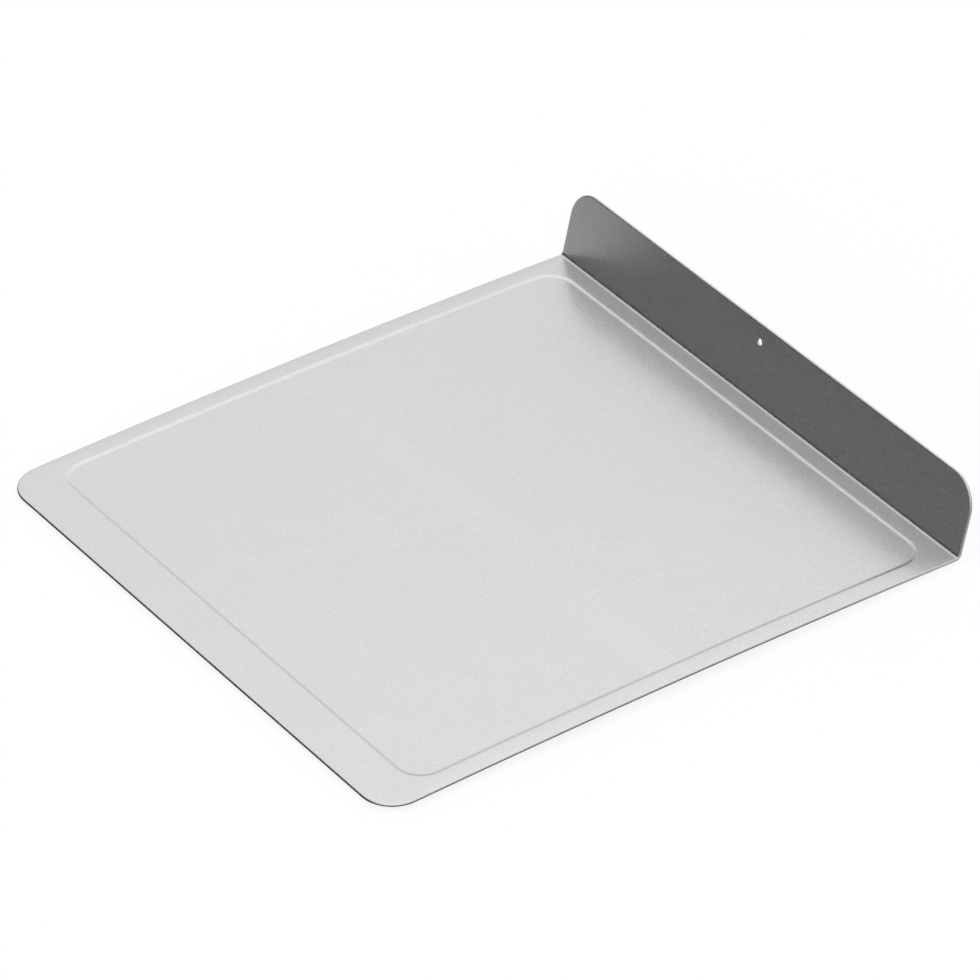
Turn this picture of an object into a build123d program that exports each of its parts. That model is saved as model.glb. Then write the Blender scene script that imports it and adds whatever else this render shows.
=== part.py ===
from build123d import *
import os
from math import atan2, cos, degrees, radians, sin, sqrt, tan

# An air-insulated cookie sheet: a baking sheet with one end turned up as a grip, and a lower sheet
# whose edge is held in the hem that is folded back under the baking sheet's rim.
# X runs across the sheet, Y towards the flange and Z up. The lower sheet's floor rests at Z = 0,
# and the origin is the middle of the bounding box's bottom.

# Blank
sheet_width = 305.0
panel_length = 320.0  # front rim to the flange's root
flange_slant = 37.7  # root to top edge, along the flange
flange_lean = 13.1  # degrees outward from upright
crown_rise = 2.35  # mid-length above the two ends
bend_radius = 2.0  # inside the flange's root
front_corner_radius = 17.0
flange_corner_radius = 15.5

# Gauges and the hem
top_gauge = 0.5
base_gauge = 0.4
nest_clearance = 0.05  # between the two sheets, wherever they lie face to face
hem_width = 6.5
rim_stand = 1.2  # hem's underside above the rack, at the two ends
rim_round_share = 0.45  # of the hem's thickness

# Recessed baking area, measured to the top of its step
recess_depth = 0.6
recess_front_margin = 22.7
recess_hem_margin = 2.9  # from the hem's inner edge, on the two long sides
recess_flange_margin = 9.8
recess_corner_radius = 13.8
step_slope = 45.0  # degrees from the face
step_rise_share = 1.04  # of the recess depth, so that the slope runs out through the face

# Pan pressed in the lower sheet
pan_draft = 30.0  # degrees from upright
pan_clearance = 0.25  # its wall's top edge outside the baking sheet's step

# Spacer domes
dome_columns = 6
dome_rows = 6
dome_radius = 7.0
dome_top_radius = 3.0
dome_edge_margin = 22.0  # outermost dome centres inside the pan floor's outline
dome_sides = 12  # flats that stand for the round, to keep a repeated shape light

# Hanging hole
hole_diameter = 3.6
hole_drop = 8.8  # below the flange's top edge, along the flange
hole_offset = -5.6  # across, from the middle

overrun = 12.0  # how far a cutter runs past what it cuts

# Depths are measured square to the baking face, into the metal.
hem_depth = 2 * top_gauge + base_gauge + 2 * nest_clearance
base_face_depth = top_gauge + nest_clearance
base_back_depth = base_face_depth + base_gauge
rim_round = rim_round_share * hem_depth

# The flange leans back past the root, so the panel's middle stands in front of the origin.
lean_up = cos(radians(flange_lean))
lean_out = sin(radians(flange_lean))
flange_reach = (flange_slant - rim_round) * lean_out + (hem_depth - rim_round) * lean_up + rim_round
panel_mid_y = -flange_reach / 2
front_y = panel_mid_y - panel_length / 2
root_y = panel_mid_y + panel_length / 2
face_end_z = rim_stand + hem_depth

# The crown is an arc along the sheet. The bend's circle stands on it and touches the flange.
crown_radius = ((panel_length / 2) ** 2 + crown_rise ** 2) / (2 * crown_rise)
crown_centre = Vector(panel_mid_y, face_end_z + crown_rise - crown_radius)
root = Vector(root_y, face_end_z)
flange_up = Vector(lean_out, lean_up)
flange_front = Vector(-lean_up, lean_out)
to_bend = root + flange_front * bend_radius - crown_centre
along = to_bend.dot(flange_up)
climb = sqrt(along ** 2 - to_bend.dot(to_bend) + (crown_radius + bend_radius) ** 2) - along
bend_centre = root + flange_front * bend_radius + flange_up * climb
crown_to_bend = (bend_centre - crown_centre).normalized()

# The flange's inner face, with its local Y up the flange from the root
flange_plane = Plane(
    origin=(0, root_y, face_end_z), x_dir=(1, 0, 0), z_dir=(0, -lean_up, lean_out)
)

# The recess's step, and the pan's wall that stands clear outside it
recess_side_margin = hem_width + recess_hem_margin
step_rise = step_rise_share * recess_depth
step_run = step_rise / tan(radians(step_slope))
step_back = top_gauge * tan(radians(step_slope / 2))
pan_height = face_end_z - base_face_depth - base_gauge
pan_growth = step_back + pan_clearance - pan_height * tan(radians(pan_draft))

# The pan's floor, the domes' grid on it, and how far under the face their tops reach
floor_width = sheet_width - 2 * recess_side_margin + 2 * pan_growth
floor_front_y = front_y + recess_front_margin - pan_growth
floor_back_y = root_y - recess_flange_margin + pan_growth
dome_first_y = floor_front_y + dome_edge_margin
dome_pitch_y = (floor_back_y - dome_edge_margin - dome_first_y) / (dome_rows - 1)
dome_pitch_x = (floor_width - 2 * dome_edge_margin) / (dome_columns - 1)
seat_depth = recess_depth + top_gauge + nest_clearance


def wall_shift(gauge, slope):
    """How far a sloped wall's far face is set back where a flat sheet of its gauge meets it."""
    return gauge * (1 - sin(radians(slope))) / cos(radians(slope))


def crown_point(y, depth):
    """Point on the panel's crown at a place along the sheet and a depth below the baking face."""
    rise = sqrt((crown_radius - depth) ** 2 - (y - panel_mid_y) ** 2)
    return Vector(y, crown_centre.Y + rise)


def crown_arc(start_y, end_y, depth):
    """The crown's arc between two places along the sheet, added to the line being built."""
    middle_y = (start_y + end_y) / 2
    ThreePointArc(crown_point(start_y, depth), crown_point(middle_y, depth), crown_point(end_y, depth))


def side_line(depth, inset):
    """Side line of the bent blank at a depth, added to the line being built; returns its two ends."""
    radius = bend_radius + depth
    meets_crown = bend_centre - crown_to_bend * radius
    meets_flange = bend_centre - flange_front * radius
    bend_middle = bend_centre - (crown_to_bend + flange_front).normalized() * radius
    top = root + flange_up * (flange_slant - inset) - flange_front * depth
    crown_arc(front_y + inset, meets_crown.X, depth)
    ThreePointArc(meets_crown, bend_middle, meets_flange)
    Line(meets_flange, top)
    return crown_point(front_y + inset, depth), top


def square_blank(upper, lower, inset):
    """The bent blank between two depths, drawn in by the inset, with its corners left square."""
    with BuildPart() as blank:
        with BuildSketch(Plane.YZ):
            with BuildLine():
                upper_ends = side_line(upper, inset)
                lower_ends = side_line(lower, inset)
                Line(upper_ends[0], lower_ends[0])
                Line(upper_ends[1], lower_ends[1])
            make_face()
        extrude(amount=sheet_width / 2 - inset, both=True)
    return blank.part


def rounded_blank(upper, lower, inset):
    """The bent blank between two depths, drawn in by the inset, with its four corners rounded."""
    with BuildPart() as blank:
        add(square_blank(upper, lower, inset))
        front_corners = blank.edges().filter_by(Axis.Z)
        fillet(front_corners, front_corner_radius - inset)
        flange_corners = blank.edges().filter_by(Axis((0, 0, 0), flange_plane.z_dir))
        fillet(flange_corners, flange_corner_radius - inset)
    return blank.part


def thin_blank(upper, lower, inset):
    """A rounded blank too thin to round by itself, cut from one that is deeper by the hem."""
    with BuildPart() as blank:
        add(rounded_blank(upper, lower + hem_depth, inset))
        add(square_blank(lower, lower + overrun, 0), mode=Mode.SUBTRACT)
    return blank.part


def crown_slab(upper, lower):
    """Room between two depths under the crown, running past the panel on every side."""
    start_y = front_y - overrun
    end_y = root_y + overrun
    with BuildPart() as slab:
        with BuildSketch(Plane.YZ):
            with BuildLine():
                for depth in (upper, lower):
                    crown_arc(start_y, end_y, depth)
                for y in (start_y, end_y):
                    Line(crown_point(y, upper), crown_point(y, lower))
            make_face()
        extrude(amount=sheet_width / 2 + overrun, both=True)
    return slab.part


def recess_outline(growth):
    """Rounded outline of the recess, grown by an amount, added to the sketch being built."""
    width = sheet_width - 2 * recess_side_margin + 2 * growth
    length = panel_length - recess_front_margin - recess_flange_margin + 2 * growth
    middle_y = panel_mid_y + (recess_front_margin - recess_flange_margin) / 2
    with Locations((0, middle_y)):
        RectangleRounded(width, length, recess_corner_radius + growth)


def recess_block(growth, upper, lower):
    """The recess's outline between two depths under the crown, sloped in at its floor's edge."""
    with BuildPart() as block:
        with BuildSketch(Plane.XY.offset(-overrun)):
            recess_outline(growth)
        extrude(amount=2 * overrun + face_end_z)
        add(crown_slab(upper, lower), mode=Mode.INTERSECT)
        floor = block.faces().sort_by(SortBy.AREA)[-2:].sort_by(Axis.Z)[0]
        chamfer(floor.edges(), step_run, step_rise, reference=floor)
    return block.part


def pan_block(growth, floor_z):
    """The pan's room from its floor up past the baking sheet, widening with the pan's draft."""
    with BuildPart() as block:
        with BuildSketch(Plane.XY.offset(floor_z)):
            recess_outline(growth)
        extrude(amount=face_end_z + crown_rise, taper=-pan_draft)
    return block.part


def dome_row(row_y, radius):
    """Outlines of one row of domes across the sheet, added to the sketch being built."""
    with Locations((0, row_y)):
        with GridLocations(dome_pitch_x, 0, dome_columns, 1):
            RegularPolygon(radius, dome_sides, major_radius=False)


def hanging_hole():
    """Round pin through the flange where the sheet hangs."""
    with BuildPart() as pin:
        with BuildSketch(flange_plane):
            with Locations((hole_offset, flange_slant - hole_drop)):
                Circle(hole_diameter / 2)
        extrude(amount=overrun, both=True)
    return pin.part


os.makedirs("parts", exist_ok=True)
hole_pin = hanging_hole()

# Baking sheet. Its rim is as thick as the closed hem, then hollowed for the lower sheet's edge and
# opened from below inside the hem's width.
rim = rounded_blank(0, hem_depth, 0)
slot = thin_blank(top_gauge, hem_depth - top_gauge, top_gauge)
opening = rounded_blank(top_gauge, hem_depth + overrun, hem_width)
recess_floor = recess_block(step_back, top_gauge / 2, recess_depth + top_gauge)
recess_space = recess_block(0, -overrun, recess_depth)

with BuildPart() as top_sheet:
    add(rim)
    edge_faces = top_sheet.faces().sort_by(SortBy.AREA)[:-6]
    outline = edge_faces.edges().filter_by(lambda edge: edge.length > hem_depth + nest_clearance)
    fillet(outline, rim_round)
    add(slot, mode=Mode.SUBTRACT)
    add(opening, mode=Mode.SUBTRACT)
    add(recess_floor)
    add(recess_space, mode=Mode.SUBTRACT)
    add(hole_pin, mode=Mode.SUBTRACT)
top_sheet.part.label = "top_sheet"
export_step(top_sheet.part, "parts/top_sheet.step")

# Lower sheet. Its margin lies under the baking sheet's, up the flange too, and its field is pressed
# down to the rack as a pan.
margin = thin_blank(base_face_depth, base_back_depth, base_face_depth)
pan_metal = pan_block(pan_growth + wall_shift(base_gauge, pan_draft), 0)
pan_space = pan_block(pan_growth, base_gauge)
above_face = crown_slab(-overrun, base_face_depth)

with BuildPart() as base_sheet:
    add(pan_metal)
    add(above_face, mode=Mode.SUBTRACT)
    add(margin)
    add(pan_space, mode=Mode.SUBTRACT)
    for row in range(dome_rows):
        dome_y = dome_first_y + row * dome_pitch_y
        seat_z = min(
            crown_point(dome_y - dome_top_radius, seat_depth).Y,
            crown_point(dome_y + dome_top_radius, seat_depth).Y,
        )
        rise = seat_z - base_gauge
        slope = degrees(atan2(dome_radius - dome_top_radius, rise))
        with BuildSketch(Plane.XY.offset(base_gauge)):
            dome_row(dome_y, dome_radius)
        extrude(amount=rise, taper=slope)
        with BuildSketch(Plane.XY):
            dome_row(dome_y, dome_radius - wall_shift(base_gauge, slope))
        extrude(amount=rise, taper=slope, mode=Mode.SUBTRACT)
    add(hole_pin, mode=Mode.SUBTRACT)
base_sheet.part.label = "base_sheet"
export_step(base_sheet.part, "parts/base_sheet.step")
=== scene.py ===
"""Air-insulated aluminium cookie sheet on a white studio floor.

The sheet is two pressings: a baking sheet whose rim is folded back under itself as a hem and whose
one end is turned up as a grip, and a lower sheet held in that hem, pressed down as a pan with spacer
domes. Both are pressed as flat blanks here and then bent, and the domes come last. Lengths are in
metres. X runs across the sheet, Y from its front rim to its flange, and Z up.
"""

import logging
from dataclasses import dataclass, field
from enum import Enum
from math import cos, pi, radians, sin, sqrt, tan

import bmesh
import bpy
from mathutils import Matrix, Vector

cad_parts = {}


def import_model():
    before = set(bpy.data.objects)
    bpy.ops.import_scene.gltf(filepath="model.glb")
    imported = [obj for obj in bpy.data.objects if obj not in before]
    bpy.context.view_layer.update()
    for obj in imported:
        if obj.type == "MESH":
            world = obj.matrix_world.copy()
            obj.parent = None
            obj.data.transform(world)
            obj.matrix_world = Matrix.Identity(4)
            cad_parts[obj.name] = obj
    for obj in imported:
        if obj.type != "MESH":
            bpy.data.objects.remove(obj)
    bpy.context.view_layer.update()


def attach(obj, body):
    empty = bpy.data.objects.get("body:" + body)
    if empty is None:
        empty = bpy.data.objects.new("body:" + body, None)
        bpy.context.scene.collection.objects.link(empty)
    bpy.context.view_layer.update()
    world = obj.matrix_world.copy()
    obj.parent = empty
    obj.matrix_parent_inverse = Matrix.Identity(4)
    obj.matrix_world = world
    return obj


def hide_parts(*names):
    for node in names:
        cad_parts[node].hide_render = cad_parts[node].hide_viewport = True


MM = 0.001
# Points closer than this are one point.
WELD = 0.001 * MM
# A cut that passes an edge's end closer than this goes through the end, so that it leaves no sliver.
SNAP = 0.03 * MM
# Straight pieces in each blend of a pressing's section.
BLEND_SEGMENTS = 4
# Edges that turn more than this, such as those of the cut metal, are shaded sharp.
SHARP_ANGLE = radians(40)
# The studio's white, as a colour and as a strength of light.
WHITE = "ffffff"
SEEN_WHITE = 1.0
LOG = logging.getLogger("cookie_sheet")


class Ray(Enum):
    """The kinds of ray that the studio's floor and room answer in their own ways."""

    SEEN = "Is Camera Ray"
    MIRRORED = "Is Glossy Ray"
    REFRACTED = "Is Transmission Ray"


def linear(hex_colour: str) -> tuple[float, float, float, float]:
    """Turns an sRGB hex colour into the linear values that the shaders take.

    Args:
        hex_colour: Six hex digits, such as "d4d5d6".

    Returns:
        Red, green, blue and an alpha of one.
    """
    channels = (int(hex_colour[at:at + 2], 16) / 255 for at in (0, 2, 4))
    # The numbers are those of the sRGB curve itself: a short straight foot and a power above it.
    red, green, blue = (
        c / 12.92 if c <= 0.04045 else ((c + 0.055) / 1.055) ** 2.4 for c in channels
    )
    return red, green, blue, 1.0


def add_node(tree: bpy.types.NodeTree, kind: str, settings: dict | None = None,
             inputs: dict | None = None) -> bpy.types.Node:
    """Adds one node with its settings and the values or links of its inputs.

    Args:
        tree: The node tree that takes the node.
        kind: The node's type name.
        settings: Attributes of the node itself.
        inputs: Socket name or index to a value, or to the output socket that feeds it.

    Returns:
        The new node.
    """
    node = tree.nodes.new(kind)
    for name, value in (settings or {}).items():
        setattr(node, name, value)
    for socket, value in (inputs or {}).items():
        if isinstance(value, bpy.types.NodeSocket):
            tree.links.new(value, node.inputs[socket])
        else:
            node.inputs[socket].default_value = value
    return node


def rounded_path(corners: list[tuple[float, float]], radius: float) -> list[tuple[float, float]]:
    """Rounds the inner corners of a section line with equal arcs.

    Args:
        corners: The section's corners, each across and up.
        radius: Radius of every arc.

    Returns:
        The rounded line's points, ends included.
    """
    points = [corners[0]]
    for before, corner, after in zip(corners, corners[1:], corners[2:]):
        corner_at = Vector(corner)
        back = (Vector(before) - corner_at).normalized()
        ahead = (Vector(after) - corner_at).normalized()
        half_angle = back.angle(ahead) / 2
        centre = corner_at + (back + ahead).normalized() * (radius / sin(half_angle))
        start = (corner_at + back * (radius / tan(half_angle)) - centre).normalized()
        end = (corner_at + ahead * (radius / tan(half_angle)) - centre).normalized()
        points += [
            tuple(centre + start.slerp(end, step / BLEND_SEGMENTS) * radius)
            for step in range(BLEND_SEGMENTS + 1)
        ]
    points.append(corners[-1])
    return points


def press(bm: bmesh.types.BMesh, face: bmesh.types.BMFace,
          section: list[tuple[float, float]]) -> None:
    """Presses a section line into a face, ring by ring from its outline inwards.

    Args:
        bm: The mesh.
        face: The face that is pressed; it stays as the floor of the pressing.
        section: Points of the section, each inwards from the outline and up the face's normal.
    """
    for (from_in, from_up), (to_in, to_up) in zip(section, section[1:]):
        bmesh.ops.inset_region(
            bm, faces=[face], thickness=to_in - from_in, depth=to_up - from_up,
            use_boundary=True, use_even_offset=True,
        )


def open_edges(bm: bmesh.types.BMesh, level: float) -> list[bmesh.types.BMEdge]:
    """Lists the edges at one height that don't join two faces.

    Args:
        bm: The mesh.
        level: The height.

    Returns:
        The edges.
    """
    return [
        edge for edge in bm.edges
        if not edge.is_manifold and all(abs(vert.co.z - level) < WELD for vert in edge.verts)
    ]


@dataclass(frozen=True)
class Outline:
    """A rectangle with rounded corners in the flat blank, along X and along the sheet."""

    width: float
    start: float
    end: float
    start_radius: float
    end_radius: float
    segments: int = 14

    def face(self, bm: bmesh.types.BMesh, height: float, faces_up: bool) -> bmesh.types.BMFace:
        """Adds the outline's face to a mesh.

        Args:
            bm: The mesh.
            height: The face's height over the blank's face.
            faces_up: Whether the face's normal points up.

        Returns:
            The new face.
        """
        middle = (self.start + self.end) / 2
        # A grid of size 0.5 is a square with a side of one.
        corners = bmesh.ops.create_grid(bm, x_segments=1, y_segments=1, size=0.5)["verts"]
        bmesh.ops.scale(bm, vec=(self.width, self.end - self.start, 1), verts=corners)
        bmesh.ops.translate(bm, vec=(0, middle, height), verts=corners)
        ends = (
            (self.start_radius, [v for v in corners if v.co.y < middle]),
            (self.end_radius, [v for v in corners if v.co.y > middle]),
        )
        for radius, verts in ends:
            made = bmesh.ops.bevel(
                bm, geom=verts, offset=radius, offset_type="OFFSET", segments=self.segments,
                profile=0.5, affect="VERTICES", material=-1,
            )
        face = made["verts"][0].link_faces[0]
        if (face.normal.z > 0) != faces_up:
            bmesh.ops.reverse_faces(bm, faces=[face])
        return face


@dataclass(frozen=True)
class BentBlank:
    """The sheet's bent shape: a panel with a low crown along its length and a flange at one end.

    A point of the flat blank is given by its place across, its place along from the front rim and its
    height over the baking face. Points and directions made of two numbers are Y and Z.
    """

    width: float = 305 * MM
    panel_length: float = 320 * MM
    flange_slant: float = 37.7 * MM
    flange_lean: float = radians(13.1)
    crown_rise: float = 2.35 * MM
    bend_radius: float = 2 * MM
    front_radius: float = 17 * MM
    flange_radius: float = 15.5 * MM
    top_gauge: float = 0.5 * MM
    base_gauge: float = 0.4 * MM
    nest_clearance: float = 0.05 * MM
    rim_stand: float = 1.2 * MM
    rim_round_share: float = 0.45
    panel_pitch: float = 8 * MM
    bend_cuts: int = 14
    bend_support: float = 0.25 * MM
    front_y: float = field(init=False)
    face_z: float = field(init=False)
    hem_depth: float = field(init=False)
    crown_centre: Vector = field(init=False)
    crown_radius: float = field(init=False)
    bend_centre: Vector = field(init=False)
    bend_start: float = field(init=False)
    bend_end: float = field(init=False)
    length: float = field(init=False)

    def __post_init__(self) -> None:
        """Works out the crown's and the bend's circles from the sizes."""
        # A frozen dataclass takes the values that it works out itself only in this way.
        settle = object.__setattr__
        hem = 2 * self.top_gauge + self.base_gauge + 2 * self.nest_clearance
        settle(self, "hem_depth", hem)
        # The solids' box is centred on the origin, so the flange's overhang puts the panel's middle in
        # front of it. The rim's rounding, a share of the hem's depth, belongs to that overhang.
        rim_round = self.rim_round_share * hem
        reach = (self.flange_slant - rim_round) * sin(self.flange_lean)
        reach += (hem - rim_round) * cos(self.flange_lean) + rim_round
        middle_y = -reach / 2
        settle(self, "front_y", middle_y - self.panel_length / 2)
        settle(self, "face_z", self.rim_stand + hem)
        radius = ((self.panel_length / 2) ** 2 + self.crown_rise ** 2) / (2 * self.crown_rise)
        settle(self, "crown_radius", radius)
        settle(self, "crown_centre", Vector((middle_y, self.face_z + self.crown_rise - radius)))
        # The bend touches the flange's face and the crown: its centre is slid up the flange, from
        # beside the root, until it lies one bend radius outside the crown's circle.
        from_crown = self.root + self.flange_normal * self.bend_radius - self.crown_centre
        along = from_crown.dot(self.flange_up)
        clear = radius + self.bend_radius
        climb = sqrt(along ** 2 - from_crown.length_squared + clear ** 2) - along
        centre = self.root + self.flange_normal * self.bend_radius + self.flange_up * climb
        settle(self, "bend_centre", centre)
        start = centre.x - self.crown_normal.x * self.bend_radius - self.front_y
        settle(self, "bend_start", start)
        turn = self.crown_normal.angle(self.flange_normal)
        settle(self, "bend_end", start + self.bend_radius * turn)
        settle(self, "length", self.bend_end + self.flange_slant - climb)

    @property
    def root(self) -> Vector:
        """The flange's root, as Y and Z."""
        return Vector((self.front_y + self.panel_length, self.face_z))

    @property
    def flange_up(self) -> Vector:
        """Direction up the flange, as Y and Z."""
        return Vector((sin(self.flange_lean), cos(self.flange_lean)))

    @property
    def flange_normal(self) -> Vector:
        """Direction out of the flange's inner face, as Y and Z."""
        return Vector((-cos(self.flange_lean), sin(self.flange_lean)))

    @property
    def crown_normal(self) -> Vector:
        """Direction out of the crown's face where the bend begins, as Y and Z."""
        return (self.bend_centre - self.crown_centre).normalized()

    def place(self, across: float, along: float, height: float) -> Vector:
        """Finds where a point of the flat blank lies on the bent one.

        Args:
            across: Place across the sheet.
            along: Place along the flat blank from the front rim.
            height: Height over the face, square to it, and negative in the metal.

        Returns:
            The point in the part's frame.
        """
        if along <= self.bend_start:
            y = self.front_y + along
            rise = sqrt(self.crown_radius ** 2 - (y - self.crown_centre.x) ** 2)
            foot = Vector((y, self.crown_centre.y + rise))
            normal = (foot - self.crown_centre).normalized()
        elif along <= self.bend_end:
            turn = (along - self.bend_start) / (self.bend_end - self.bend_start)
            normal = self.crown_normal.slerp(self.flange_normal, turn)
            foot = self.bend_centre - normal * self.bend_radius
        else:
            normal = self.flange_normal
            foot = self.bend_centre - normal * self.bend_radius
            foot += self.flange_up * (along - self.bend_end)
        spot = foot + normal * height
        return Vector((across, spot.x, spot.y))

    def outline(self, inset: float) -> Outline:
        """Draws the blank's outline.

        Args:
            inset: How far the outline is drawn in.

        Returns:
            The outline.
        """
        return Outline(
            width=self.width - 2 * inset, start=inset, end=self.length - inset,
            start_radius=self.front_radius - inset, end_radius=self.flange_radius - inset,
        )

    def cuts(self) -> list[float]:
        """Lists where the mesh needs an edge across it to bend smoothly.

        Returns:
            Places along the flat blank.
        """
        panel_steps = round(self.bend_start / self.panel_pitch)
        places = [self.bend_start * step / panel_steps for step in range(1, panel_steps)]
        bend_length = self.bend_end - self.bend_start
        places += [
            self.bend_start + bend_length * step / self.bend_cuts
            for step in range(self.bend_cuts + 1)
        ]
        places += [self.bend_start - self.bend_support, self.bend_end + self.bend_support]
        return places

    def score(self, bm: bmesh.types.BMesh) -> None:
        """Cuts a flat mesh across at every place where it has to bend.

        Args:
            bm: The mesh.
        """
        for along in self.cuts():
            geometry = bm.verts[:] + bm.edges[:] + bm.faces[:]
            bmesh.ops.bisect_plane(
                bm, geom=geometry, dist=SNAP, plane_co=(0, along, 0), plane_no=(0, 1, 0),
            )


def cell_round(bm: bmesh.types.BMesh, face: bmesh.types.BMFace, centre: Vector, half_cell: float,
               radius: float, segments: int = 32) -> bmesh.types.BMFace:
    """Cuts a square cell out of a flat face and puts a disc in it, joined by a ring of quads.

    Args:
        bm: The mesh.
        face: The face, which looks up or down.
        centre: The disc's centre, on the face.
        half_cell: Half the square cell's side.
        radius: The disc's radius.
        segments: Sides of the disc, a multiple of four.

    Returns:
        The disc's face.
    """
    for normal in (Vector((1, 0, 0)), Vector((0, 1, 0))):
        for side in (-1, 1):
            cut = bmesh.ops.bisect_plane(
                bm, geom=[face, *face.verts, *face.edges], dist=SNAP,
                plane_co=centre + normal * half_cell * side, plane_no=normal,
            )
            face = next(
                part for part in cut["geom"]
                if isinstance(part, bmesh.types.BMFace) and is_face_at(part, centre)
            )
    looks_up = face.normal.z > 0
    rim = list(face.edges)
    bmesh.ops.delete(bm, geom=[face], context="FACES_ONLY")
    split = bmesh.ops.subdivide_edges(bm, edges=rim, cuts=segments // 4 - 1)
    square = {part for part in split["geom_split"] if isinstance(part, bmesh.types.BMEdge)}
    # An eighth of a turn sets a point of the disc against each corner of the cell.
    disc_verts = bmesh.ops.create_circle(
        bm, cap_ends=True, radius=radius, segments=segments,
        matrix=Matrix.Translation(centre) @ Matrix.Rotation(pi / 4, 4, "Z"),
    )["verts"]
    disc = disc_verts[0].link_faces[0]
    if (disc.normal.z > 0) != looks_up:
        bmesh.ops.reverse_faces(bm, faces=[disc])
    bmesh.ops.bridge_loops(bm, edges=[*square, *disc.edges])
    return disc


def is_face_at(face: bmesh.types.BMFace, point: Vector) -> bool:
    """Tells whether a flat face holds a point."""
    level = abs((point - face.verts[0].co).dot(face.normal)) < WELD
    return level and bool(bmesh.geometry.intersect_face_point(face, point))


@dataclass(frozen=True)
class SatinAluminium:
    """Rolled aluminium sheet, matt etched: bare metal that mirrors the room as broad soft patches."""

    name: str = "satin_aluminium"
    # Aluminium is a bright metal with next to no colour of its own. Handling dulls it a shade, in soft
    # clouds a thumb wide and in the long faint lines that the rolls leave along the sheet.
    colour: str = "f1f1f2"
    tarnish: str = "e9e9eb"
    cloud_size: float = 22 * MM
    cloud_detail: float = 3.0
    cloud_roughness: float = 0.6
    line_spacing: float = 1.6 * MM
    line_length: float = 60 * MM
    line_detail: float = 4.0
    line_roughness: float = 0.65
    line_share: float = 0.5
    # Etching leaves smooth lands between matt pits. The eye gets a reflection with a clear core and a
    # wide haze. The real grain is a few hundredths of a millimetre, too fine to show, so it is drawn
    # about ten times as coarse.
    smooth_roughness: float = 0.19
    matt_roughness: float = 0.46
    land: float = 0.42
    pit: float = 0.58
    grain_size: float = 0.4 * MM
    grain_height: float = 0.0006 * MM
    grain_detail: float = 2.0
    grain_roughness: float = 0.7

    def build(self) -> bpy.types.Material:
        """Builds the material.

        Returns:
            The new material.
        """
        material = bpy.data.materials.new(self.name)
        material.use_nodes = True
        tree = material.node_tree
        tree.nodes.clear()
        place = add_node(tree, "ShaderNodeTexCoord").outputs["Object"]
        clouds = add_node(tree, "ShaderNodeTexNoise", inputs={
            "Vector": place, "Scale": 1 / self.cloud_size,
            "Detail": self.cloud_detail, "Roughness": self.cloud_roughness,
        }).outputs["Fac"]
        grain = add_node(tree, "ShaderNodeTexNoise", inputs={
            "Vector": place, "Scale": 1 / self.grain_size,
            "Detail": self.grain_detail, "Roughness": self.grain_roughness,
        }).outputs["Fac"]
        per_length = 1 / self.line_length
        rolled = add_node(tree, "ShaderNodeMapping", inputs={
            "Vector": place, "Scale": (1 / self.line_spacing, per_length, per_length),
        }).outputs["Vector"]
        lines = add_node(tree, "ShaderNodeTexNoise", inputs={
            "Vector": rolled, "Scale": 1.0,
            "Detail": self.line_detail, "Roughness": self.line_roughness,
        }).outputs["Fac"]
        wear = add_node(tree, "ShaderNodeMix", {"data_type": "FLOAT"}, {
            "Factor": self.line_share, "A": clouds, "B": lines,
        }).outputs["Result"]
        tone = add_node(tree, "ShaderNodeMix", {"data_type": "RGBA"}, {
            "Factor": wear, "A": linear(self.colour), "B": linear(self.tarnish),
        }).outputs["Result"]
        rough = add_node(tree, "ShaderNodeMapRange", inputs={
            "Value": grain, "From Min": self.land, "From Max": self.pit,
            "To Min": self.smooth_roughness, "To Max": self.matt_roughness,
        }).outputs["Result"]
        bump = add_node(tree, "ShaderNodeBump", inputs={
            "Height": grain, "Strength": 1.0, "Distance": self.grain_height,
        }).outputs["Normal"]
        surface = add_node(tree, "ShaderNodeBsdfPrincipled", inputs={
            "Base Color": tone, "Metallic": 1.0, "Roughness": rough, "Normal": bump,
        })
        add_node(tree, "ShaderNodeOutputMaterial", inputs={"Surface": surface.outputs["BSDF"]})
        return material


@dataclass
class Sheet:
    """What the two sheets share: the bent blank they follow and how a pressed skin becomes a piece."""

    blank: BentBlank
    finish: bpy.types.Material

    def piece(self, bm: bmesh.types.BMesh, name: str, gauge: float) -> bpy.types.Object:
        """Turns a bent skin into a sheet of metal.

        Args:
            bm: The skin, its faces looking out of the metal.
            name: The piece's name.
            gauge: The metal's thickness.

        Returns:
            The piece.
        """
        for face in bm.faces:
            face.smooth = True
        mesh = bpy.data.meshes.new(name)
        bm.to_mesh(mesh)
        bm.free()
        made = bpy.data.objects.new(name, mesh)
        bpy.context.scene.collection.objects.link(made)
        # The skin is the face that is pressed, and the metal lies behind it.
        shell = made.modifiers.new("gauge", "SOLIDIFY")
        shell.thickness = gauge
        shell.offset = -1.0
        shell.use_quality_normals = True
        bpy.context.view_layer.update()
        evaluated = made.evaluated_get(bpy.context.evaluated_depsgraph_get())
        solid = bpy.data.meshes.new_from_object(evaluated)
        made.modifiers.clear()
        made.data = solid
        solid.name = name
        solid.set_sharp_from_angle(angle=SHARP_ANGLE)
        solid.materials.clear()
        solid.materials.append(self.finish)
        return made


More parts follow.
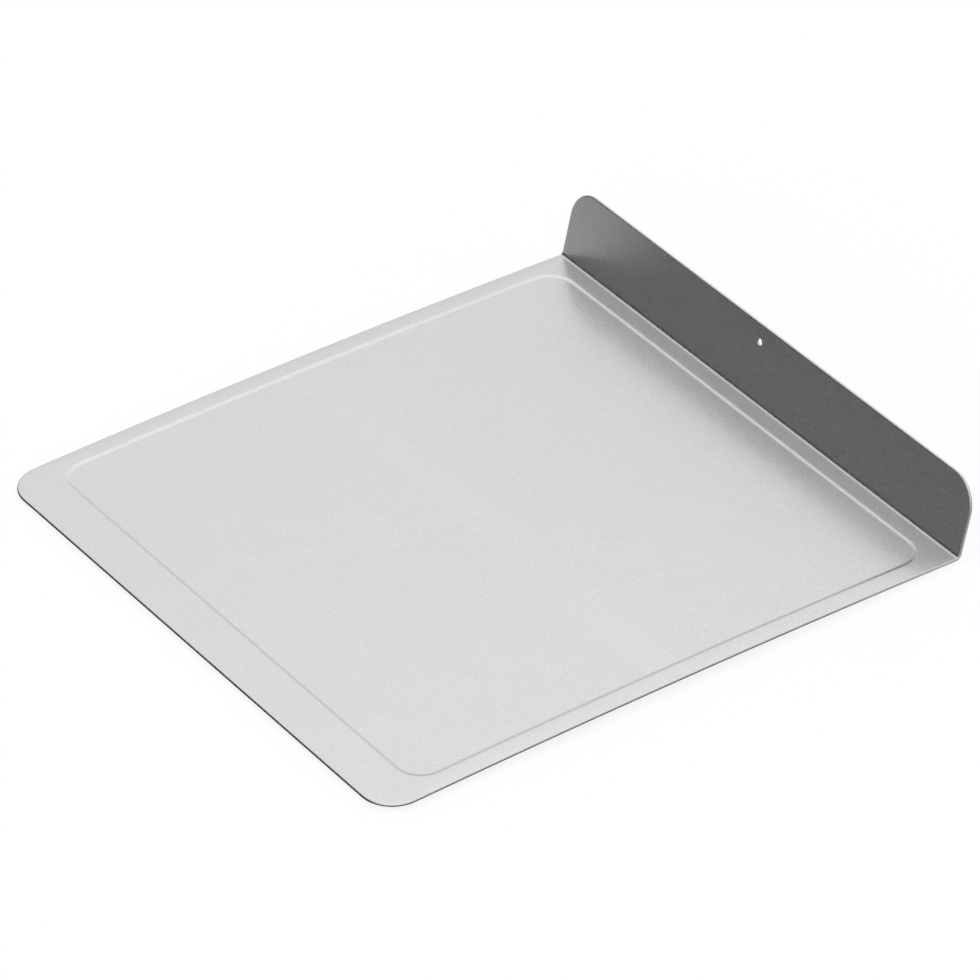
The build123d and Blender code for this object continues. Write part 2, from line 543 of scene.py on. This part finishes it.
@dataclass
class BakingSheet(Sheet):
    """The baking sheet: recessed field, flat margin, hem under the rim and turned-up flange."""

    hem_width: float = 6.5 * MM
    roll_segments: int = 10
    recess_depth: float = 0.32 * MM
    recess_front_margin: float = 22.7 * MM
    recess_side_margin: float = 9.4 * MM
    recess_flange_margin: float = 9.8 * MM
    recess_radius: float = 13.8 * MM
    step_slope: float = radians(13)
    step_blend: float = 5.5 * MM
    step_support: float = 0.8 * MM
    hole_radius: float = 1.8 * MM
    hole_cell: float = 4 * MM
    hole_drop: float = 8.8 * MM
    hole_offset: float = -5.6 * MM

    def build(self) -> bpy.types.Object:
        """Presses, folds and bends the baking sheet.

        Returns:
            The piece.
        """
        bm = bmesh.new()
        # The hem is a half-round roll. Its upper quarter ends at the baking face and its lower one runs
        # on as the hem's underside. They are pressed back to back from the outline at half depth.
        roll = self.blank.hem_depth / 2
        rim = self.blank.outline(0).face(bm, -roll, faces_up=True)
        under = self.blank.outline(0).face(bm, -roll, faces_up=False)
        edge = list(rim.verts) + list(under.verts)
        turns = [step * pi / 2 / self.roll_segments for step in range(self.roll_segments + 1)]
        quarter = [(roll * (1 - cos(turn)), roll * sin(turn)) for turn in turns]
        press(bm, rim, quarter)
        press(bm, under, [*quarter, (self.hem_width, roll)])
        bmesh.ops.delete(bm, geom=[rim, under], context="FACES_ONLY")
        bmesh.ops.remove_doubles(bm, verts=edge, dist=WELD)
        # The recess is pressed on its own and the flat margin is bridged from it to the roll.
        recess = self.recess_outline(self.step_support).face(bm, 0, faces_up=True)
        press(bm, recess, self.step_section())
        bmesh.ops.bridge_loops(bm, edges=open_edges(bm, 0))
        self.blank.score(bm)
        self.punch(bm, 0)
        for vert in bm.verts:
            vert.co = self.blank.place(*vert.co)
        return self.piece(bm, "hemmed_baking_sheet", self.blank.top_gauge)

    def punch(self, bm: bmesh.types.BMesh, level: float) -> None:
        """Punches the hanging hole through a flat skin.

        Args:
            bm: The skin.
            level: The skin's height.
        """
        hole = Vector((self.hole_offset, self.blank.length - self.hole_drop, level))
        face = next(f for f in bm.faces if is_face_at(f, hole))
        disc = cell_round(bm, face, hole, self.hole_cell, self.hole_radius)
        bmesh.ops.delete(bm, geom=[disc], context="FACES_ONLY")

    @property
    def step_back(self) -> float:
        """How far the step's underside lies outside its face, measured level."""
        return self.blank.top_gauge * tan(self.step_slope / 2)

    def recess_outline(self, growth: float) -> Outline:
        """Draws the recess's outline at the top of its step, grown by an amount.

        Args:
            growth: How far the outline moves outwards.

        Returns:
            The outline.
        """
        return Outline(
            width=self.blank.width - 2 * self.recess_side_margin + 2 * growth,
            start=self.recess_front_margin - growth,
            end=self.blank.panel_length - self.recess_flange_margin + growth,
            start_radius=self.recess_radius + growth, end_radius=self.recess_radius + growth,
        )

    def step_section(self) -> list[tuple[float, float]]:
        """Draws the step's section: a slope between two blends.

        Returns:
            Its points, each inwards from the support line and up.
        """
        run = self.recess_depth / tan(self.step_slope)
        top = (self.step_support, 0.0)
        foot = (self.step_support + run, -self.recess_depth)
        floor = (foot[0] + self.step_support, -self.recess_depth)
        return rounded_path([(0.0, 0.0), top, foot, floor], self.step_blend)


@dataclass
class LowerSheet(Sheet):
    """The lower sheet: edge in the hem, field pressed down as a pan with spacer domes.

    Its skin is the underside, so the metal lies above it.
    """

    upper: BakingSheet
    pan_draft: float = radians(30)
    pan_clearance: float = 0.25 * MM
    pan_support: float = 1.0 * MM
    pan_blend: float = 0.9 * MM
    pan_drop: float = 3 * MM
    dome_columns: int = 6
    dome_rows: int = 6
    dome_radius: float = 7 * MM
    dome_top_radius: float = 3 * MM
    dome_support: float = 0.8 * MM
    dome_blend: float = 1.0 * MM
    dome_edge_margin: float = 22 * MM
    dome_cell: float = 10 * MM

    def build(self) -> bpy.types.Object:
        """Presses and bends the lower sheet.

        Returns:
            The piece.
        """
        blank = self.blank
        bm = bmesh.new()
        inset = blank.top_gauge + blank.nest_clearance
        back = -inset - blank.base_gauge
        edge = blank.outline(inset).face(bm, back, faces_up=False)
        bmesh.ops.delete(bm, geom=[edge], context="FACES_ONLY")
        reach = self.pan_growth + self.pan_run
        pan = self.upper.recess_outline(reach).face(bm, back, faces_up=False)
        press(bm, pan, self.pan_section())
        bmesh.ops.delete(bm, geom=[pan], context="FACES_ONLY")
        bmesh.ops.bridge_loops(bm, edges=open_edges(bm, back))
        blank.score(bm)
        self.upper.punch(bm, back)
        # The margin follows the bent blank and the pan's floor is flat on the table. The wall between
        # them goes from the one to the other as far as it is pressed.
        for vert in bm.verts:
            pressed = (back - vert.co.z) / self.pan_drop
            on_margin = blank.place(vert.co.x, vert.co.y, back)
            vert.co = on_margin.lerp(Vector((vert.co.x, blank.front_y + vert.co.y, 0)), pressed)
        floor = bmesh.ops.holes_fill(bm, edges=open_edges(bm, 0), sides=0)["faces"]
        self.press_domes(bm, floor)
        return self.piece(bm, "dimpled_lower_sheet", blank.base_gauge)

    @property
    def pan_growth(self) -> float:
        """How far the pan's floor outline lies outside the recess's."""
        blank = self.blank
        height = blank.face_z - blank.top_gauge - blank.nest_clearance - blank.base_gauge
        return self.upper.step_back + self.pan_clearance - height * tan(self.pan_draft)

    @property
    def pan_run(self) -> float:
        """How far the pan's wall and its two supports reach inwards."""
        return self.pan_drop * tan(self.pan_draft) + self.pan_support

    def pan_section(self) -> list[tuple[float, float]]:
        """Draws the pan wall's section on the underside.

        Returns:
            Its points, each inwards from the support line and down.
        """
        top = (self.pan_support, 0.0)
        foot = (self.pan_support + self.pan_drop * tan(self.pan_draft), self.pan_drop)
        floor = (foot[0] + self.pan_support, self.pan_drop)
        return rounded_path([(0.0, 0.0), top, foot, floor], self.pan_blend)

    def press_domes(self, bm: bmesh.types.BMesh, floor: list[bmesh.types.BMFace]) -> None:
        """Presses the grid of spacer domes into the pan's floor, up to just below the baking sheet.

        Args:
            bm: The bent lower sheet.
            floor: The pan's floor, as one face.
        """
        blank = self.blank
        field_outline = self.upper.recess_outline(self.pan_growth - self.dome_edge_margin)
        columns = [
            field_outline.width * (step / (self.dome_columns - 1) - 0.5)
            for step in range(self.dome_columns)
        ]
        span = field_outline.end - field_outline.start
        rows = [
            field_outline.start + span * step / (self.dome_rows - 1)
            for step in range(self.dome_rows)
        ]
        # Cuts midway between the domes give each its own part of the floor.
        lines = [(Vector((1, 0, 0)), (a + b) / 2) for a, b in zip(columns, columns[1:])]
        lines += [(Vector((0, 1, 0)), (a + b) / 2 + blank.front_y) for a, b in zip(rows, rows[1:])]
        for normal, place in lines:
            parts = {
                *floor, *(edge for face in floor for edge in face.edges),
                *(vert for face in floor for vert in face.verts),
            }
            cut = bmesh.ops.bisect_plane(
                bm, geom=list(parts), dist=SNAP, plane_co=normal * place, plane_no=normal,
            )
            floor = [part for part in cut["geom"] if isinstance(part, bmesh.types.BMFace)]
        seat = -self.upper.recess_depth - blank.top_gauge - blank.nest_clearance - blank.base_gauge
        foot_radius = self.dome_radius + self.dome_support
        shoulder = self.dome_support + self.dome_radius - self.dome_top_radius
        for across in columns:
            for along in rows:
                middle = Vector((across, blank.front_y + along, 0))
                cell = next(face for face in floor if is_face_at(face, middle))
                disc = cell_round(bm, cell, middle, self.dome_cell, foot_radius)
                # The dome's flat top stops where the crowned sheet over it comes lowest.
                rise = min(
                    blank.place(0, along + side * self.dome_top_radius, seat).z for side in (-1, 1)
                )
                section = [
                    (0.0, 0.0), (self.dome_support, 0.0),
                    (shoulder, -rise), (shoulder + self.dome_support, -rise),
                ]
                press(bm, disc, rounded_path(section, self.dome_blend))


@dataclass(frozen=True)
class StudioCamera:
    """A long lens above the front corner on the X side, at the photograph's angle.

    The turn, the elevation, the distance and the aim come from fitting the sheet's corners in the
    photograph, with the focal length in pixels of its frame.
    """

    turn: float = radians(54.135)
    elevation: float = radians(35.928)
    distance: float = 3344.6 * MM
    aim_right: float = 5.757 * MM
    aim_up: float = 13.548 * MM
    focal_pixels: float = 7300.0
    frame_pixels: float = 980.0
    sensor: float = 36.0
    clip_end: float = 20.0
    panel_middle: Vector = Vector((0, -4.935 * MM, 2.7 * MM))

    def build(self) -> bpy.types.Object:
        """Builds the camera and makes it the scene's.

        Returns:
            The camera.
        """
        data = bpy.data.cameras.new("studio_camera")
        data.sensor_width = self.sensor
        data.lens = self.focal_pixels / self.frame_pixels * self.sensor
        data.clip_end = self.clip_end
        right = Vector((cos(self.turn), sin(self.turn), 0))
        back = Vector((
            sin(self.turn) * cos(self.elevation), -cos(self.turn) * cos(self.elevation),
            sin(self.elevation),
        ))
        above = back.cross(right)
        camera = bpy.data.objects.new("studio_camera", data)
        stand = self.panel_middle + back * self.distance
        camera.location = stand + right * self.aim_right + above * self.aim_up
        camera.rotation_euler = Matrix((right, above, back)).transposed().to_euler()
        bpy.context.scene.collection.objects.link(camera)
        bpy.context.scene.camera = camera
        return camera


@dataclass(frozen=True)
class FloorPaint:
    """Matt white paint: plain white to the camera but for a faint shadow; bare metal sees a painted
    grey glow.
    """

    # The share of the floor's seen tone that takes light and shadow. The rest is plain white.
    shadow_share: float = 0.15
    # Metal sees a painted grey glow for the floor, darker near the sheet as a painted shadow.
    painted_floor_reflection: float = 0.34
    painted_shadow_reflection: float = 0.07
    painted_shadow_from: float = 215 * MM
    painted_shadow_to: float = 285 * MM
    painted_shadow_skew: float = 0.84

    def build(self) -> bpy.types.Material:
        """Builds the material.

        Returns:
            The new material.
        """
        material = bpy.data.materials.new("painted_floor")
        material.use_nodes = True
        tree = material.node_tree
        tree.nodes.clear()
        rays = add_node(tree, "ShaderNodeLightPath").outputs
        matt = add_node(tree, "ShaderNodeBsdfDiffuse", inputs={"Color": linear(WHITE)})
        white = add_node(tree, "ShaderNodeEmission", inputs={"Strength": SEEN_WHITE})
        place = add_node(tree, "ShaderNodeTexCoord").outputs["Object"]
        spot = add_node(tree, "ShaderNodeSeparateXYZ", inputs={"Vector": place}).outputs
        across = add_node(tree, "ShaderNodeMath", {"operation": "ABSOLUTE"}, {0: spot["X"]})
        # The painted shadow in the floor's mirrored glow is a wedge: it narrows from the front to a
        # point beyond the flange.
        away = add_node(tree, "ShaderNodeMath", {"operation": "MULTIPLY_ADD"}, {
            0: spot["Y"], 1: self.painted_shadow_skew, 2: across.outputs[0],
        })
        glow = add_node(tree, "ShaderNodeMapRange", {"interpolation_type": "SMOOTHSTEP"}, {
            "Value": away.outputs[0], "From Min": self.painted_shadow_from, "From Max": self.painted_shadow_to,
            "To Min": self.painted_shadow_reflection, "To Max": self.painted_floor_reflection,
        })
        # The glow that metal sees is a painted reflection, not the lit floor.
        mirrored = add_node(tree, "ShaderNodeEmission", inputs={"Strength": glow.outputs["Result"]})
        lit = add_node(tree, "ShaderNodeMath", {"operation": "MULTIPLY"}, {
            0: rays[Ray.SEEN.value], 1: 1 - self.shadow_share,
        })
        to_camera = add_node(tree, "ShaderNodeMixShader", inputs={
            "Fac": lit.outputs[0], 1: matt.outputs[0], 2: white.outputs[0],
        })
        either = add_node(tree, "ShaderNodeMath", {"operation": "MAXIMUM"}, {
            0: rays[Ray.MIRRORED.value], 1: rays[Ray.REFRACTED.value],
        })
        to_metal = add_node(tree, "ShaderNodeMixShader", inputs={
            "Fac": either.outputs[0], 1: to_camera.outputs[0], 2: mirrored.outputs[0],
        })
        # From below the floor is clear, so that it doesn't hide the sheet.
        under = add_node(tree, "ShaderNodeNewGeometry").outputs["Backfacing"]
        clear = add_node(tree, "ShaderNodeBsdfTransparent")
        one_sided = add_node(tree, "ShaderNodeMixShader", inputs={
            "Fac": under, 1: to_metal.outputs[0], 2: clear.outputs[0],
        })
        add_node(tree, "ShaderNodeOutputMaterial", inputs={"Surface": one_sided.outputs[0]})
        return material


@dataclass(frozen=True)
class Studio:
    """White floor and a soft room: bright overhead and on the camera's right, dark on its left.

    The camera sees plain white, and white light falls on the floor. The bare metal mirrors a room with
    tones of its own, because metal shows nothing but what stands round it. Levels are shares of white.
    """

    floor_size: float = 6.0
    # The floor lies a hair under the sheet, so that the two don't share a plane.
    floor_drop: float = 0.02 * MM
    # A dark patch of the room. The flange mirrors it by way of the sheet, and the sheet before the
    # flange by way of the flange. Both angles are measured from the patch's middle.
    dark_side: tuple[float, float, float] = (-0.66, -0.74, 0.12)
    dark_angle: float = radians(37)
    light_angle: float = radians(54)
    dark_level: float = 0.01
    # Away from the bright side the room fades to a lower level, between two cosines of the angle.
    bright_side: tuple[float, float, float] = (0.5, 0.65, 0.6)
    fade_from: float = 0.188
    fade_to: float = 0.387
    fade_level: float = 0.7
    # The horizon is tilted, so that the room is dimmer low down beyond the flange. A direction's
    # height over it is its dot product with this vector, which isn't made a unit one.
    horizon_side: tuple[float, float, float] = (-0.55, -0.8, 1.0)
    horizon_level: float = 0.52
    horizon_height: float = 0.7
    room_level: float = 1.0

    def build(self) -> None:
        """Builds the floor and the world."""
        self.build_floor()
        self.build_world()

    def build_floor(self) -> bpy.types.Object:
        """Builds the painted floor.

        Returns:
            The floor.
        """
        bm = bmesh.new()
        bmesh.ops.create_grid(bm, x_segments=1, y_segments=1, size=self.floor_size / 2)
        bmesh.ops.translate(bm, vec=(0, 0, -self.floor_drop), verts=bm.verts[:])
        mesh = bpy.data.meshes.new("studio_floor")
        bm.to_mesh(mesh)
        bm.free()
        mesh.materials.append(FloorPaint().build())
        floor = bpy.data.objects.new("studio_floor", mesh)
        bpy.context.scene.collection.objects.link(floor)
        return floor

    def build_world(self) -> bpy.types.World:
        """Builds the room's light.

        Returns:
            The world.
        """
        world = bpy.data.worlds.new("studio_room")
        world.use_nodes = True
        tree = world.node_tree
        tree.nodes.clear()
        rays = add_node(tree, "ShaderNodeLightPath").outputs
        direction = add_node(tree, "ShaderNodeTexCoord").outputs["Generated"]
        to_dark = add_node(tree, "ShaderNodeVectorMath", {"operation": "DOT_PRODUCT"}, {
            0: direction, 1: Vector(self.dark_side).normalized(),
        }).outputs["Value"]
        apart = add_node(tree, "ShaderNodeMath", {"operation": "ARCCOSINE"}, {0: to_dark}).outputs[0]
        level = add_node(tree, "ShaderNodeMapRange", {"interpolation_type": "SMOOTHSTEP"}, {
            "Value": apart, "From Min": self.dark_angle, "From Max": self.light_angle,
            "To Min": self.dark_level, "To Max": 1.0,
        }).outputs["Result"]
        to_bright = add_node(tree, "ShaderNodeVectorMath", {"operation": "DOT_PRODUCT"}, {
            0: direction, 1: Vector(self.bright_side).normalized(),
        }).outputs["Value"]
        fade = add_node(tree, "ShaderNodeMapRange", inputs={
            "Value": to_bright, "From Min": self.fade_from, "From Max": self.fade_to,
            "To Min": self.fade_level, "To Max": 1.0,
        }).outputs["Result"]
        height = add_node(tree, "ShaderNodeVectorMath", {"operation": "DOT_PRODUCT"}, {
            0: direction, 1: self.horizon_side,
        }).outputs["Value"]
        horizon = add_node(tree, "ShaderNodeMapRange", {"interpolation_type": "SMOOTHSTEP"}, {
            "Value": height, "From Min": 0.0, "From Max": self.horizon_height,
            "To Min": self.horizon_level, "To Max": self.room_level,
        }).outputs["Result"]
        faded = add_node(tree, "ShaderNodeMath", {"operation": "MULTIPLY"}, {
            0: level, 1: fade,
        }).outputs[0]
        room = add_node(tree, "ShaderNodeMath", {"operation": "MULTIPLY"}, {
            0: faded, 1: horizon,
        }).outputs[0]
        strength = add_node(tree, "ShaderNodeMix", {"data_type": "FLOAT"}, {
            "Factor": rays[Ray.MIRRORED.value], "A": SEEN_WHITE, "B": room,
        }).outputs["Result"]
        backdrop = add_node(tree, "ShaderNodeBackground", inputs={
            "Color": linear(WHITE), "Strength": strength,
        })
        add_node(tree, "ShaderNodeOutputWorld", inputs={"Surface": backdrop.outputs[0]})
        bpy.context.scene.world = world
        return world


def main() -> None:
    """Builds the cookie sheet and its studio."""
    logging.basicConfig(level=logging.INFO, format="%(name)s: %(message)s")
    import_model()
    finish = SatinAluminium().build()
    blank = BentBlank()
    baking_sheet = BakingSheet(blank, finish)
    lower_sheet = LowerSheet(blank, finish, baking_sheet)
    for sheet, node in ((baking_sheet, "top_sheet"), (lower_sheet, "base_sheet")):
        piece = sheet.build()
        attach(piece, "root")
        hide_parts(node)
        LOG.info("%s stands for %s, with %d faces", piece.name, node, len(piece.data.polygons))
    Studio().build()
    StudioCamera().build()
    bpy.context.scene.view_settings.view_transform = "Standard"


if __name__ == "__main__":
    main()
